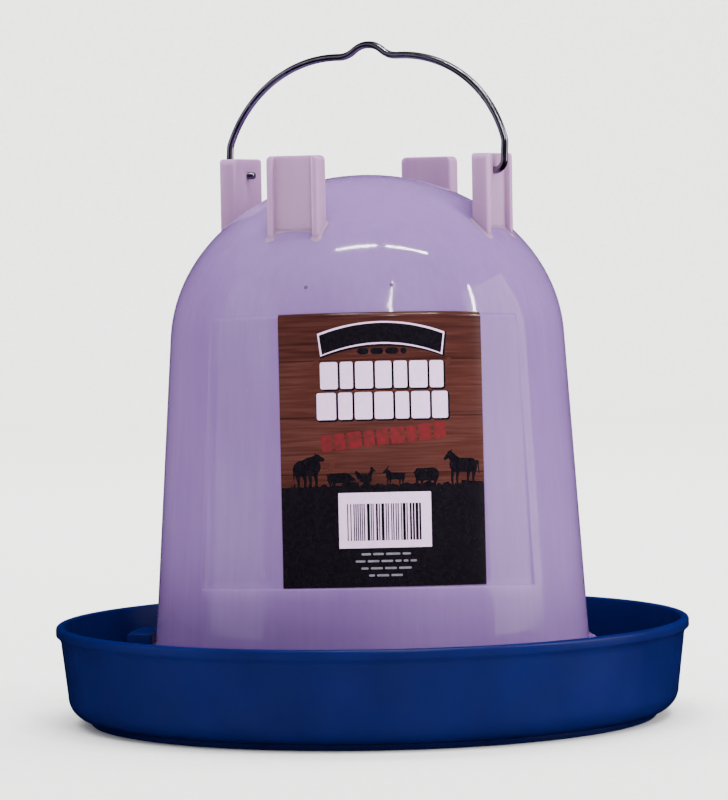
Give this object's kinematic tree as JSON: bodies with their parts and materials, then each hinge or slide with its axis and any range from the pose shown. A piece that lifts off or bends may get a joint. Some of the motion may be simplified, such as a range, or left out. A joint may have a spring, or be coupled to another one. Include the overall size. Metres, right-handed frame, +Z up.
{
  "type": "poultry waterer",
  "caption": "Gravity-fed poultry drinker: a translucent bell twist-locks onto a round blue trough pan, with moulded standing feet and a hinged wire bail.",
  "frame": {"origin": "centre of the circle that the pan stands on, at floor level", "axes": "+Z up along the bell's axis, -Y towards the front, where the label's middle faces, +X to the right as seen from the front"},
  "size_m": [0.28, 0.28, 0.299],
  "materials": {
    "pan_plastic": "moulded, satin gloss",
    "bell_plastic": "moulded natural plastic, translucent and glossy",
    "bail_wire": "drawn bright wire",
    "label_film": "printed gloss film"
  },
  "bodies": {
    "pan": {"drinking_pan": "pan_plastic"},
    "bell": {"fount_bell": "bell_plastic", "front_label": "label_film"},
    "bail": {"wire_bail": "bail_wire"}
  },
  "joints": [
    {"name": "twist_lock", "type": "hinge", "parent": "pan", "child": "bell", "pos_m": [0, 0, 0.0307], "axis": [0, 0, 1], "range_deg": [0, 30]},
    {"name": "bail_swing", "type": "hinge", "parent": "bell", "child": "bail", "pos_m": [0, 0, 0.2407], "axis": [0.8485, -0.5292, 0], "range_deg": [-94.5, 105.5]}
  ]
}
